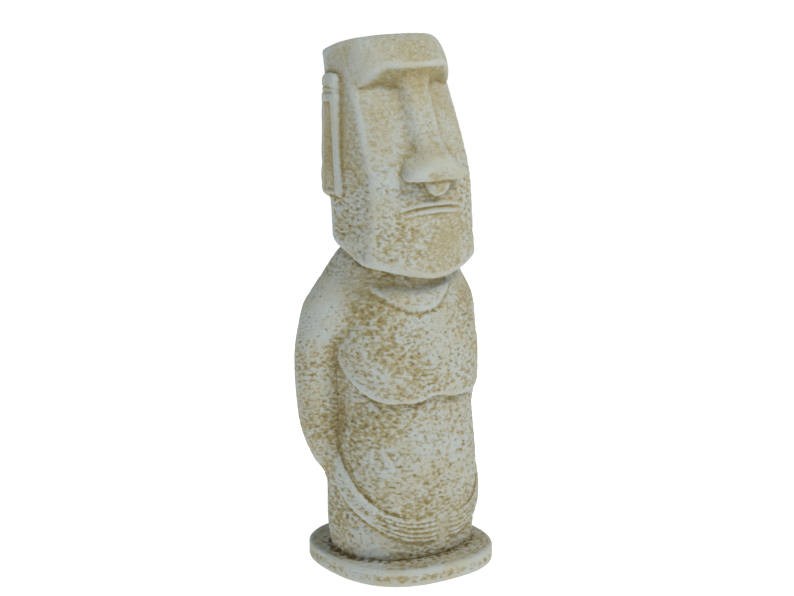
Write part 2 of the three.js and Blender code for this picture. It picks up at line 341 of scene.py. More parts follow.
@dataclass
class Ear:
    """A long flat ear: a strip proud of the head, with a rim round a shallow recess."""

    top: float = 485
    foot: float = 364
    reach: float = 71
    depth: float = 38
    narrowing: float = 0.13
    foot_y: float = 16
    lean: float = 0.11
    taper: float = 0.055
    rim: float = 8.5
    recess: float = 2.4
    cut_z: float = 467
    cut_apart: float = 4.2
    cut_depth: float = 1.3
    strip_round: float = 5
    foot_round: float = 18
    top_round: float = 7

    def strip(self, y: Array, z: Array) -> tuple[Array, Array]:
        """Distance back from the strip's leaning middle line, and half the strip's width there."""
        rise = z - self.foot
        return y - self.foot_y - self.lean * rise, (self.depth - self.narrowing * rise) / 2

    def distance(self, x: Array, y: Array, z: Array) -> Array:
        """Distance to the strip.

        Args:
            x, y, z: Places.

        Returns:
            The distance, positive outside.
        """
        rise = z - self.foot
        across, half = self.strip(y, z)
        outer = np.abs(x) - self.reach + self.taper * rise
        length = np.maximum(-rise, z - self.top)
        end_round = mix(self.foot_round, self.top_round, ease(0, 40, rise))
        return round_max(round_max(np.abs(across) - half, outer, self.strip_round), length, end_round)

    def relief(self, x: Array, y: Array, z: Array) -> Array:
        """How far the recess and the two cuts near the top go in, in millimetres, below zero.

        Args:
            x, y, z: Places.

        Returns:
            Millimetres along the skin's normal.
        """
        rise = z - self.foot
        across, half = self.strip(y, z)
        on_face = ease(-6, -1, np.abs(x) - self.reach + self.taper * rise)
        front = ease(0, 3, across + half - self.rim) * (1 - ease(-3, -1, across - half))
        low = ease(0, 3.5, rise - self.rim)
        high = ease(0, 3, self.cut_z - 8 - z)
        pocket = front * low * high
        cuts = bump(z - self.cut_z, 1.3) + bump(z - self.cut_z - self.cut_apart, 1.2)
        inside = ease(-1, 1, across + half)
        return -on_face * (self.recess * pocket + self.cut_depth * cuts * inside)


@dataclass
class Head:
    """A long block that leans back, wide at the jaw and narrow at the crown, with its features."""

    top: float = 522
    jaw_z: float = 294
    jaw_rise_side: float = 0.3
    jaw_round: float = 22
    jaw_rise_back: float = 0.42
    jaw_turn_y: float = -26
    jaw_slope: float = 0.92
    jaw_edge: float = 6
    brow_z: float = 494
    brow_drop: float = 24
    brow_span: Row = (30, 60)
    brow_edge: float = 1.2
    socket_edge: float = 1.5
    face_arc: float = 97
    back_arc: float = 170
    flare_back: float = 0.09
    flare_front: float = 0.19
    cove_slope: float = 0.72
    face_edge: float = 3
    temple_edge: float = 9
    crown_fall: float = 0.0032
    crown_peak_y: float = -18
    crown_spread: float = 1500
    nose: Nose = field(default_factory=Nose)
    lips: Lips = field(default_factory=Lips)
    ear: Ear = field(default_factory=Ear)

    def __post_init__(self) -> None:
        """Draws the two lofts from the heights of the head's features."""
        socket_z = self.nose.socket_z
        self.loft = Stations(
            (
                (self.jaw_z - 9, 72, 65, 26),
                (self.jaw_z + 23, 69, 61, 31),
                (self.lips.mouth_z, 66, 58, 37),
                (self.nose.base_z, 65, 55, 42),
                (422, 62.5, 42, 48),
                (socket_z, 56.5, 20, 54),
                (self.brow_z, 54, 6, 58),
                (self.top, 50.5, -12, 67),
            )
        )
        self.forehead = Stations(
            (
                (socket_z - 10, 37, 60),
                (self.brow_z, 35, 60),
                (self.top, 16, 54),
            )
        )

    def block(self, x: Array, y: Array, z: Array) -> Array:
        """Distance to the bare block: walls, face, brow with its cove, crown and jaw.

        Args:
            x, y, z: Places.

        Returns:
            The distance, positive outside.
        """
        width, front, back = self.loft.at(z)
        brow_front, brow_arc = self.forehead.at(z)
        flare = np.where(y < 0, self.flare_front, self.flare_back)
        side = np.abs(x) - width - flare * y
        rear = arc_wall(x, -y, back, self.back_arc)
        walls = round_max(side, rear, mix(9, 5, ease(460, 515, z)))
        face = round_max(walls, arc_wall(x, y, front, self.face_arc), self.face_edge)
        forward = arc_wall(x, y, brow_front, brow_arc)
        forehead = round_max(walls, forward, self.temple_edge)
        edge_z = self.brow_z - self.brow_drop * ease(*self.brow_span, np.abs(x))
        cove = (forward + self.cove_slope * (edge_z - z)) / math.hypot(1, self.cove_slope)
        brow = round_max(forehead, cove, self.brow_edge)
        fall = self.crown_fall * (y - self.crown_peak_y) ** 2
        crown = z - self.top + fall + x * x / self.crown_spread
        crown_edge = mix(12, 3.5, ease(-10, 30, y))
        block = round_max(round_min(face, brow, self.socket_edge), crown, crown_edge)
        to_side = self.jaw_rise_side * (np.hypot(x, self.jaw_round) - self.jaw_round)
        to_back = self.jaw_rise_back * np.maximum(y - self.jaw_turn_y, 0)
        jaw_line = self.jaw_z + to_side + to_back
        return round_max(block, (jaw_line - z) * self.jaw_slope, self.jaw_edge)

    def distance(self, x: Array, y: Array, z: Array) -> Array:
        """Distance to the head with its nose, lips and ears.

        Args:
            x, y, z: Places.

        Returns:
            The distance, positive outside.
        """
        melt = mix(3, 9, ease(404, 426, z))
        head = round_min(self.block(x, y, z), self.nose.distance(x, y, z), melt)
        head = round_min(head, self.lips.distance(x, y, z), 1)
        return round_min(head, self.ear.distance(x, y, z), 2)


@dataclass
class Torso:
    """The upright body and the chest plate that stands proud of the belly."""

    foot: Row = (73, 63, 56)
    top: float = 312
    chest_top: float = 298
    chest_edge_z: float = 175
    chest_sweep: float = 0.0165
    chest_sweep_from: float = 38
    chest_arch: float = 5
    squareness: float = 2.3
    collar_x: float = -10
    collar_z: float = 261
    collar_rise: Row = (0.0105, 0.016)
    collar_proud: float = 3.2
    collar_crease: float = 1.6

    def __post_init__(self) -> None:
        """Draws the lofts of body and chest."""
        width, front, back = self.foot
        self.loft = Stations(
            (
                (12, width - 5, front - 5, back - 6, 2.2),
                (26, width, front, back, 2.3),
                (60, 75, 66, 58, 2.3),
                (110, 74, 69, 58, 2.3),
                (172, 71, 60, 57, 2.3),
                (215, 74, 58, 58, 2.3),
                (250, 70, 54, 55, 2.2),
                (285, 57, 44, 45, 2.1),
                (312, 51, 40, 34, 2.1),
            )
        )
        self.chest_loft = Stations(
            (
                (160, 76, 65, 57, 2.3),
                (200, 78, 66, 57, 2.3),
                (238, 76, 61, 54, 2.3),
                (270, 60, 49, 42, 2.2),
                (298, 46, 38, 28, 2.1),
            )
        )

    def body(self, x: Array, y: Array, z: Array) -> Array:
        """Distance to the upright body, closed at its top."""
        return round_max(section(x, y, self.loft.at(z)), z - self.top, 10)

    def collar(self, x: Array, y: Array, z: Array) -> Array:
        """Relief of the neck, whose lower end stands a little proud of the chest in a curved ledge.

        The ledge is a parabola in x, steeper on the figure's left, and it fades out below the jaw.

        Args:
            x, y, z: Places.

        Returns:
            Millimetres along the skin's normal.
        """
        out = x - self.collar_x
        right, left = self.collar_rise
        ledge = self.collar_z + np.where(out > 0, left, right) * out * out
        proud = ease(-0.5, 3, z - ledge) * (1 - ease(12, 34, z - ledge))
        crease = bump(z - ledge + 1.5, 1.6)
        below_jaw = 1 - ease(282, 289, z)
        crisp = mix(0.55, 1, ease(-30, 5, x)) * (1 - ease(46, 60, np.abs(x))) * below_jaw
        relief = self.collar_proud * proud - self.collar_crease * crease
        return relief * (1 - ease(-16, -4, y)) * crisp

    def chest_edge(self, turn: Array) -> Array:
        """Height of the chest's lower edge, which sweeps up to the armpits."""
        sweep = self.chest_sweep * np.maximum(turn - self.chest_sweep_from, 0) ** 2
        return self.chest_edge_z + self.chest_arch * (1 - ease(0, 22, turn)) + sweep

    def chest(self, x: Array, y: Array, z: Array) -> Array:
        """Distance to the chest plate.

        Args:
            x, y, z: Places.

        Returns:
            The distance, positive outside.
        """
        plate = section(x, y, self.chest_loft.at(z))
        edge = self.chest_edge(turn_of(x, y))
        return round_max(round_max(plate, z - self.chest_top, 10), (edge - z) * 0.8, 4)


@dataclass
class Arm:
    """Shoulder, upper arm, and the band of forearm and hand that lies across the belly."""

    elbow_z: float = 96
    shoulder_z: float = 252
    hand_top_z: float = 60
    hand_foot_z: float = 34
    hand_proud: float = 3.5
    elbow_proud: float = 5
    hand_gap: float = 13
    gap_middle: float = 5.5
    fingers: int = 5
    finger_length: float = 72
    fingertip_round: float = 8
    finger_cut: float = 1.5
    top_rise: float = 0.0135
    top_from: float = 20
    foot_rise: float = 0.0085
    foot_from: float = 8
    shoulder: tuple[Row, ...] = ((32, 14, 291, 35), (62, 20, 251, 34))
    upper: Stations = Stations(
        (
            (96, 64, 19, 13),
            (110, 70.5, 19, 16),
            (130, 77, 20, 18.5),
            (155, 81.5, 21, 20.5),
            (205, 83, 22, 22),
            (230, 78.5, 21.5, 24.5),
            (252, 69, 20.5, 28),
        )
    )

    def edges(self, turn: Array) -> tuple[Array, Array]:
        """Heights of the forearm's upper and lower edges: both fall from the elbow as parabolas."""
        top = self.hand_top_z + self.top_rise * np.maximum(turn - self.top_from, 0) ** 2
        foot = self.hand_foot_z + self.foot_rise * np.maximum(turn - self.foot_from, 0) ** 2
        return top, foot

    def forearm(self, x: Array, y: Array, z: Array, body: Stations) -> Array:
        """Distance to the band of forearm and hand, which follows the body's own section.

        Args:
            x, y, z: Places.
            body: The sections of the upright body.

        Returns:
            The distance, positive outside.
        """
        turn = np.minimum(turn_of(x, y), 86)
        proud = mix(self.hand_proud, self.elbow_proud, ease(40, 85, turn))
        shape = section(x, y, body.at(z)) - proud
        top, foot = self.edges(turn)
        band = np.maximum(z - top, foot - z) * 0.8
        span = np.maximum(self.hand_gap / 2 - np.abs(x - self.gap_middle), y - 12)
        return round_max(round_max(shape, band, 5), span, self.fingertip_round)

    def distance(self, x: Array, y: Array, z: Array, body: Stations) -> Array:
        """Distance to the whole arm.

        Args:
            x, y, z: Places.
            body: The sections of the upright body.

        Returns:
            The distance, positive outside.
        """
        side = np.abs(x)
        middle_x, middle_y, radius = self.upper.at(z)
        round_arm = np.hypot(side - middle_x, y - middle_y) - radius
        ends = np.maximum(self.elbow_z - z, z - self.shoulder_z)
        upper = round_max(round_arm, ends, 14)
        rising = round_min(upper, limb(side, y, z, self.shoulder), 8)
        return round_min(rising, self.forearm(x, y, z, body), 8)

    def relief(self, x: Array, y: Array, z: Array) -> Array:
        """Depth of the cuts between the fingers, in millimetres, below zero.

        Args:
            x, y, z: Places.

        Returns:
            Millimetres along the skin's normal.
        """
        turn = turn_of(x, y)
        top, foot = self.edges(turn)
        along = np.abs(x - self.gap_middle) - self.hand_gap / 2
        on_hand = ease(0, 2, along) * (1 - ease(self.finger_length * 0.6, self.finger_length, along))
        on_hand = on_hand * (y < 0) * ease(0, 3, z - foot) * ease(0, 3, top - z)
        share = (z - foot) / (top - foot) * self.fingers
        gap = np.abs(share - np.round(share)) * (top - foot) / self.fingers
        return -self.finger_cut * on_hand * bump(gap, 1.3)


@dataclass
class Slab:
    """The thin plate that the figure stands on, a squarish oval with a groove round the foot."""

    thickness: float = 17
    margin: Row = (13, 25, 29)
    edge_round: float = 3
    groove: float = 4
    squareness: float = 2.55

    def rows(self, turn: Array, foot: Array, outline: Row) -> list[Array]:
        """The slab's rings, from the foot of the figure out, down and under.

        Args:
            turn: Directions of the columns, in radians from the front.
            foot: The last ring of the figure.
            outline: The foot's half width and its reach to the front and to the back.

        Returns:
            One array of points for each ring.
        """
        dx, dy = np.sin(turn), -np.cos(turn)
        sizes = [o + m for o, m in zip(outline, self.margin)]
        reach = reach_scale(dx, dy, *sizes, self.squareness)
        start = np.hypot(foot[:, 0], foot[:, 1])
        arc = np.radians([0, 30, 60, 90])
        edge, inner, top = self.edge_round, reach - self.edge_round, self.thickness - self.edge_round
        undercut = ((0.2, 2.2), (0.5, 0.8), (0.6, 0))
        rings = [(start - self.groove * s, self.thickness + h) for s, h in undercut]
        rings += [(mix(start, inner, s), self.thickness) for s in np.arange(0.02, 1, 0.07)]
        rings += [(inner + edge * np.sin(a), top + edge * np.cos(a)) for a in arc]
        rings += [(reach, mix(top, edge, s)) for s in (0.2, 0.4, 0.6, 0.8, 1)]
        rings += [(reach - edge * (1 - np.cos(a)), edge * (1 - np.sin(a))) for a in arc[1:]]
        return [np.stack([dx * r, dy * r, np.full(len(turn), float(z))], axis=1) for r, z in rings]


class Patch(Enum):
    """Places where the antique wash lies thicker or was wiped off, with painted shade under the jaw and
    painted light on the shoulder's top among them: middle, radius and amount.
    """

    FOREHEAD = (2, -22, 506, 26, 0.34)
    TEMPLE = (-47, -10, 492, 15, -0.45)
    EYE_LEFT = (34, -18, 462, 20, 0.30)
    CHIN = (14, -62, 328, 30, 0.40)
    LIP_SIDE = (34, -50, 372, 18, 0.22)
    CHEEK = (-50, -42, 380, 22, -0.25)
    JAW_CORNER = (-62, -30, 308, 20, -0.25)
    JAW_RIM = (-26, -60, 296, 18, -0.40)
    # Painted shade below the jaw's overhang, laid on the throat and the neck's side as wash.
    THROAT = (0, -48, 285, 26, 0.22)
    NECK_SIDE = (-46, -24, 286, 20, 0.40)
    # The worn white shoulder top, made whiter still as painted light.
    SHOULDER_TOP = (-90, 2, 262, 26, -0.62)
    SHOULDER_FRONT = (-64, -30, 262, 22, 0.60)
    SHOULDER_LEFT = (52, -40, 262, 24, 0.34)
    CHEST_MIDDLE = (-24, -66, 205, 22, 0.22)
    CHEST_RIGHT = (-58, -44, 222, 30, 0.28)
    CHEST_LEFT = (16, -64, 222, 28, -0.36)
    CHEST_FOOT = (-46, -52, 186, 18, -0.30)
    CHEST_HIGH = (0, -56, 246, 16, -0.20)
    SLAB_FRONT = (-50, -84, 8, 26, 0.30)
    ARM_HIGH = (-98, 8, 208, 24, 0.60)
    ARM_LOW = (-94, 6, 150, 24, 0.65)
    ARM_WHITE = (-88, 4, 184, 14, -0.30)
    FLANK = (-72, -20, 142, 22, 0.45)
    UNDER_CHEST = (-54, -42, 166, 24, 0.42)
    BELLY = (8, -70, 118, 34, -0.22)
    BELLY_RIGHT = (-50, -46, 118, 20, -0.25)
    ABOVE_HAND = (-14, -68, 74, 22, 0.40)
    ELBOW = (-72, -14, 92, 16, -0.40)
    WRIST = (-50, -50, 54, 12, 0.36)
    UNDER_HAND = (-56, -40, 25, 18, -0.75)
    FOOT_SIDE = (-72, -6, 52, 18, 0.35)
    FINGERS = (-18, -66, 44, 20, 0.26)
    EAR_FACE = (-70, 24, 420, 34, 0.42)
    HEAD_SIDE = (-64, -14, 350, 34, -0.22)
    NOSE_LOBE = (0, -70, 380, 11, 0.45)


@dataclass
class Tooling:
    """The gouged skin of the master: pits in the bold parts, a finer grain on the smooth ones."""

    pit: tuple[float, float, float] = (3.1, 3.1, 2.25)
    depth: float = 1.0
    swell: tuple[float, float, float] = (16, 16, 13)
    swell_depth: float = 0.7

    def boldness(self, p: Array) -> Array:
        """How bold the pits are: full on body and jaw, faint on brow, eyes and nose.

        Each calmer place takes a share away: upper face, nose, lips, hands, throat, chin, back and ears.

        Args:
            p: Points of the skin.

        Returns:
            The boldness, from 0 to 1.
        """
        x, y, z = np.moveaxis(p, -1, 0)
        calm = (
            (0.72, ease(370, 430, z)),
            (0.7, bump(x, 26) * bump(z - 398, 26) * (y < -40)),
            (0.8, bump(x, 34) * bump(z - 361, 9) * (y < -40)),
            (0.6, bump(z - 46, 16) * bump(x, 44) * (y < -30)),
            (0.6, bump(z - 284, 15) * (y < 10)),
            (0.8, bump(np.linalg.norm(p - np.array((14, -62, 328)), axis=-1), 36)),
            (0.25, ease(20, 60, y)),
            (0.4, ease(364, 372, z) * (y > 0)),
        )
        bold = np.ones(x.shape)
        for share, where in calm:
            bold = bold * (1 - share * where)
        return bold

    def pits(self, p: Array) -> Array:
        """A field about 0 that is above zero in the pits: a value noise, longer across the figure."""
        return 1.5 * (noise(p, self.pit, 3) - 0.5)

    def relief(self, p: Array, edge: Array) -> tuple[Array, Array, Array]:
        """Depth of the tooling, and the fields it comes from.

        Args:
            p: Points of the skin, rows by columns.
            edge: How much of a worn edge each point is on, from 0 to 1.

        Returns:
            Millimetres along the normal, the pits' own field, and how bold the pits are, which is more
            where the grid can't carry them and the finish has to show them alone.
        """
        long = stretched(p)
        worn = self.boldness(p) * (1 - 0.6 * edge)
        bold = worn * (1 - long)
        pits = self.pits(p)
        swell = noise(p, self.swell, 7) - 0.5
        depth = -self.depth * bold * ease(-0.05, 0.32, pits) + self.swell_depth * bold * swell
        return depth, pits * bold, worn * (1 + 0.5 * long)


def smoothed(values: Array, across: int, along: int) -> Array:
    """Blurs a grid of values with a box: round the figure without an end, and held at the poles.

    Args:
        values: Rows by columns, with any further axes last.
        across: Half width of the box in columns.
        along: Half height of the box in rows.

    Returns:
        The blurred grid.
    """
    out = sum(np.roll(values, s, axis=1) for s in range(-across, across + 1)) / (2 * across + 1)
    edge = [(along, along)] + [(0, 0)] * (values.ndim - 1)
    padded = np.pad(out, edge, mode="edge")
    rows = values.shape[0]
    return sum(padded[s : s + rows] for s in range(2 * along + 1)) / (2 * along + 1)


def stretched(p: Array) -> Array:
    """How far the grid's cells are too long to carry the pits, as where rays graze the skin.

    Args:
        p: Points of the skin.

    Returns:
        From 0, short cells, to 1, long ones.
    """
    across = np.linalg.norm(np.roll(p, -1, axis=1) - p, axis=2)
    along = np.linalg.norm(np.gradient(p, axis=0), axis=2)
    return ease(2.2, 3.4, smoothed(np.maximum(across, along), 2, 2))


def grid_normals(p: Array) -> Array:
    """Outward unit normals of a skin whose columns run round it and whose rows run down it.

    Args:
        p: Points of the skin.

    Returns:
        The normals.
    """
    round_ = np.roll(p, -1, axis=1) - np.roll(p, 1, axis=1)
    down = np.gradient(p, axis=0)
    n = np.cross(down, round_)
    return n / np.maximum(np.linalg.norm(n, axis=2, keepdims=True), 1e-9)


@dataclass
class Statue:
    """The whole figure on its slab, as one skin."""

    columns: int = 240
    crowding: float = 0.2
    fan_z: float = 462
    crown_slope: float = 87.5
    undercut: float = -20
    fan_step: float = 1.35
    row_step: float = 1.5
    fine_step: float = 1.3
    fine_bands: tuple[Row, ...] = ((350, 372), (30, 64))
    outside: float = 146
    ray_step: float = 2.5
    halvings: int = 12
    seam_depth: float = 0.6
    seam_width: float = 1.0
    head: Head = field(default_factory=Head)
    torso: Torso = field(default_factory=Torso)
    arm: Arm = field(default_factory=Arm)
    slab: Slab = field(default_factory=Slab)
    tooling: Tooling = field(default_factory=Tooling)

    def distance(self, p: Array) -> Array:
        """Distance from points to the figure without its slab.

        Args:
            p: The points, with x, y and z last.

        Returns:
            The distance, positive outside.
        """
        x, y, z = np.moveaxis(p, -1, 0)
        shoulder = ease(228, 262, z)
        armpit = mix(3, 18, ease(2, 34, y))
        body = round_min(self.torso.body(x, y, z), self.torso.chest(x, y, z), mix(2, 12, shoulder))
        arm = self.arm.distance(x, y, z, self.torso.loft)
        body = round_min(body, arm, mix(armpit, 16, shoulder))
        return round_min(self.head.distance(x, y, z), body, 4)

    def seams(self, p: Array) -> dict[str, Array]:
        """Signed distances from the thin lines where arm meets body, nose and ear meet head, and lips meet.

        A point is on a seam where it is as far from one form as from the other. Each distance grows fast
        where its seam fades out, so the pressed groove and the line of painted shade that the finish draws
        along the crease keep an even depth and narrow to nothing.

        Args:
            p: Points of the skin.

        Returns:
            One array of distances for each seam, by name.
        """
        x, y, z = np.moveaxis(p, -1, 0)
        body = np.minimum(self.torso.body(x, y, z), self.torso.chest(x, y, z))
        arm = self.arm.distance(x, y, z, self.torso.loft)
        head = self.head.block(x, y, z)
        turn = turn_of(x, y)
        on_upper = ease(-3, 3, z - sum(self.arm.edges(turn)) / 2) * ease(20, 46, turn)
        on_arm = (1 - ease(205, 235, z)) * (1 - ease(10, 26, y)) * on_upper
        drawn = {
            "arm_seam": (body - arm, on_arm),
            "nose_seam": (head - self.head.nose.distance(x, y, z), (1 - ease(396, 416, z)) * (y < 0)),
            "ear_seam": (head - self.head.ear.distance(x, y, z), ease(340, 360, z)),
            "lip_seam": (self.head.lips.slit(x, z), (1 - ease(24, 36, np.abs(x))) * (y < -30)),
        }
        return {name: np.clip(gap / np.maximum(part, 0.02), -9, 9) for name, (gap, part) in drawn.items()}

    def axis_y(self, z: Array) -> Array:
        """How far back the inner axis lies: forward under the chin and back in the crown."""
        return mix(0, mix(-12, 14, ease(300, 470, z)), ease(230, 300, z))

    def aims(self) -> Array:
        """Heights on the axis and slopes of the rays, from the crown down to the slab.

        Returns:
            Rows of (height, slope in degrees): a fan in the head, then one row under another.
        """
        fan = np.arange(self.crown_slope, self.undercut, -self.fan_step)
        rows = [(self.fan_z, s) for s in fan]
        z = self.fan_z
        while z > self.slab.thickness + 4:
            fine = any(low < z < high for low, high in self.fine_bands)
            rows.append((z, self.undercut * float(ease(40, 190, z))))
            z -= self.fine_step if fine else self.row_step
        return np.array(rows)

    def skin(self) -> Array:
        """Finds the figure's skin: steps inwards along every ray, then halves.

        Returns:
            Points of the skin, rows by columns.
        """
        aims = self.aims()
        turn = self.turns()[None, :]
        slope = np.radians(aims[:, 1])[:, None]
        run = np.cos(slope)
        shape = (len(aims), self.columns)
        up = np.broadcast_to(np.sin(slope), shape)
        way = np.stack([np.sin(turn) * run, -np.cos(turn) * run, up], axis=2)
        start = np.zeros((len(aims), 1, 3))
        start[:, 0, 1] = self.axis_y(aims[:, 0])
        start[:, 0, 2] = aims[:, 0]
        start = np.broadcast_to(start, way.shape)
        far = np.full(shape, float(self.outside))
        step = self.ray_step
        open_ = np.ones(shape, bool)
        while open_.any():
            there = start[open_] + way[open_] * far[open_][:, None]
            still = (self.distance(there) > 0) & (far[open_] > step)
            far[open_] -= np.where(still, step, 0)
            open_[open_] = still
        near, far = far, far + step
        for _ in range(self.halvings):
            middle = (near + far) / 2
            out = self.distance(start + way * middle[..., None]) > 0
            far = np.where(out, middle, far)
            near = np.where(out, near, middle)
        return start + way * near[..., None]

    def turns(self) -> Array:
        """Directions of the columns, in radians from the front, closer together at the front."""
        u = 2 * np.pi * np.arange(self.columns) / self.columns
        return u - self.crowding * np.sin(u)

    def worn_edges(self, p: Array, n: Array) -> Array:
        """How far each point stands out from its surroundings, from 0 to 1, as edges and rims do."""
        proud = np.sum((p - smoothed(p, 4, 4)) * n, axis=2)
        return ease(0.4, 1.3, proud) * (1 - stretched(p))

    def wash_and_painted_light(self, p: Array, n: Array) -> tuple[Array, Array]:
        """Where the antique wash stays, in hollows and in patches and off the edges, with painted shade
        below ledges and the jaw and painted light on the shoulder's top.

        Args:
            p: Points of the skin.
            n: Their normals.

        Returns:
            The amount of wash with its painted shade and light, about 0, and the dark grime in the groove
            round the foot.
        """
        near = np.sum((smoothed(p, 2, 2) - p) * n, axis=2)
        wide = np.sum((smoothed(p, 6, 5) - p) * n, axis=2)
        edge = self.worn_edges(p, n)
        hollow = np.clip(near * 0.8, -0.4, 0.3) + np.clip(wide * 0.2, 0, 0.2) - 0.8 * edge
        # Painted shade, with the wash: faces that turn down, under ledges and the brow, are made tanner.
        facing_down_wash_and_shade = 0.55 * ease(0.05, 0.5, -n[..., 2])
        amount = hollow + facing_down_wash_and_shade
        for patch in Patch:
            *middle, radius, strength = patch.value
            gap = np.linalg.norm(p - np.array(middle), axis=2)
            amount = amount + strength * bump(gap, radius)
        amount = amount + 0.5 * (noise(p, (38, 38, 34), 21) - 0.5)
        foot = self.slab.thickness
        out = section(p[..., 0], p[..., 1], self.torso.foot + (self.torso.squareness,))
        on_top = bump(p[..., 2] - foot, 4) * bump(np.maximum(out, 0), 24)
        amount = amount + on_top * (0.8 * noise(p, (26, 26, 26), 12) - 0.3)
        uneven = 0.3 + 0.7 * noise(p, (20, 20, 20), 31)
        grime = bump(p[..., 2] - foot, 5) * bump(out, 4) * uneven
        return amount, grime

    def build(self, top: float) -> bpy.types.Object:
        """Makes the skin a mesh whose crown is as high as the solid's.

        Args:
            top: The solid's height, in metres.

        Returns:
            The object, with its wash and painted shade and light, pits, boldness, grime and seams as
            attributes.
        """
        figure = self.skin()
        rings = self.slab.rows(self.turns(), figure[-1], self.torso.foot)
        p = np.concatenate([figure, np.stack(rings)])
        long = stretched(p)[..., None] * ease(20, 60, p[..., 2:])
        p = mix(p, smoothed(p, 1, 2), long)
        n = grid_normals(p)
        x, y, z = np.moveaxis(p, -1, 0)
        tooling, pits, bold = self.tooling.relief(p, self.worn_edges(p, n))
        on_slab = ease(self.slab.thickness + 1, self.slab.thickness + 6, z)
        tooling = tooling * mix(0.45, 1, on_slab) * ease(0.5, 4, z)
        seams = self.seams(p)
        pressed = self.seam_depth * sum(bump(gap, self.seam_width) for gap in seams.values())
        cuts = self.head.ear.relief(x, y, z) + self.arm.relief(x, y, z)
        cuts = cuts + self.torso.collar(x, y, z) - pressed
        shaped = p + n * (cuts + tooling)[..., None]
        shaped[..., 2] = np.maximum(shaped[..., 2], 0)
        base = p + n * cuts[..., None]
        wash_and_painted_light, grime = self.wash_and_painted_light(base, grid_normals(base))
        beside = seams["arm_seam"]
        wash_and_painted_light = wash_and_painted_light + 0.42 * ease(-8.5, -1, beside) * (1 - ease(0, 1, beside))
        marks = {"wash_and_painted_light": wash_and_painted_light, "pits": pits, "bold": bold, "grime": grime}
        return self.mesh(shaped, marks | seams, top)

    def mesh(self, p: Array, marks: dict[str, Array], top: float) -> bpy.types.Object:
        """Closes the skin with two poles and gives it its attributes.

        Args:
            p: Points of the skin, in millimetres.
            marks: The attributes, by name.
            top: Height of the crown, in metres.

        Returns:
            The object.
        """
        rows, columns = p.shape[:2]
        crown = p[0].mean(axis=0)
        points = np.concatenate([[crown], p.reshape(-1, 3), [[0, 0, 0]]])
        points *= top / (points[:, 2].max() * MM) * MM
        index = 1 + np.arange(rows * columns).reshape(rows, columns)
        right = np.roll(index, -1, axis=1)
        quads = np.stack([index[:-1], index[1:], right[1:], right[:-1]], axis=2).reshape(-1, 4)
        end = len(points) - 1
        crown_cap = np.stack([np.zeros(columns, int), index[0], right[0]], axis=1)
        foot_cap = np.stack([np.full(columns, end), right[-1], index[-1]], axis=1)
        data = bpy.data.meshes.new(NODE)
        data.from_pydata(points.tolist(), [], quads.tolist() + crown_cap.tolist() + foot_cap.tolist())
        data.polygons.foreach_set("use_smooth", np.ones(len(data.polygons), bool))
        for name, grid in marks.items():
            values = np.concatenate([[grid[0].mean()], grid.reshape(-1), [grid[-1].mean()]])
            layer = data.attributes.new(name, "FLOAT", "POINT")
            layer.data.foreach_set("value", values.astype(np.float32))
        data.update()
        return add_object("moai_stone_skin", data)


def linear(code: str) -> tuple[float, float, float, float]:
    """Turns an sRGB hex code to a linear colour with full alpha."""
    parts = [int(code[i : i + 2], 16) / 255 for i in (1, 3, 5)]
    return (*[c / 12.92 if c <= 0.04045 else ((c + 0.055) / 1.055) ** 2.4 for c in parts], 1.0)


def add_object(name: str, data: bpy.types.ID) -> bpy.types.Object:
    """Makes an object of some data and puts it in the scene."""
    thing = bpy.data.objects.new(name, data)
    bpy.context.scene.collection.objects.link(thing)
    return thing


def per_metre(size_mm: float) -> float:
    """Scale of a pattern in object space whose features are this many millimetres across."""
    return 1 / (size_mm * MM)


@dataclass
class Nodes:
    """A material's node tree, filled one node at a time."""

    name: str

    def __post_init__(self) -> None:
        """Makes the material and empties its tree."""
        self.material = bpy.data.materials.new(self.name)
        self.material.use_nodes = True
        self.tree = self.material.node_tree
        self.tree.nodes.clear()

    def add(self, kind: str, links: dict | None = None, **settings: object) -> bpy.types.Node:
        """Adds a node.

        Args:
            kind: The node's type, without ShaderNode.
            links: For each input, the socket that feeds it, or a constant.
            settings: The node's own properties.

        Returns:
            The node.
        """
        node = self.tree.nodes.new("ShaderNode" + kind)
        for key, value in settings.items():
            setattr(node, key, value)
        for key, value in (links or {}).items():
            if isinstance(value, bpy.types.NodeSocket):
                self.tree.links.new(value, node.inputs[key])
            else:
                node.inputs[key].default_value = value
        return node


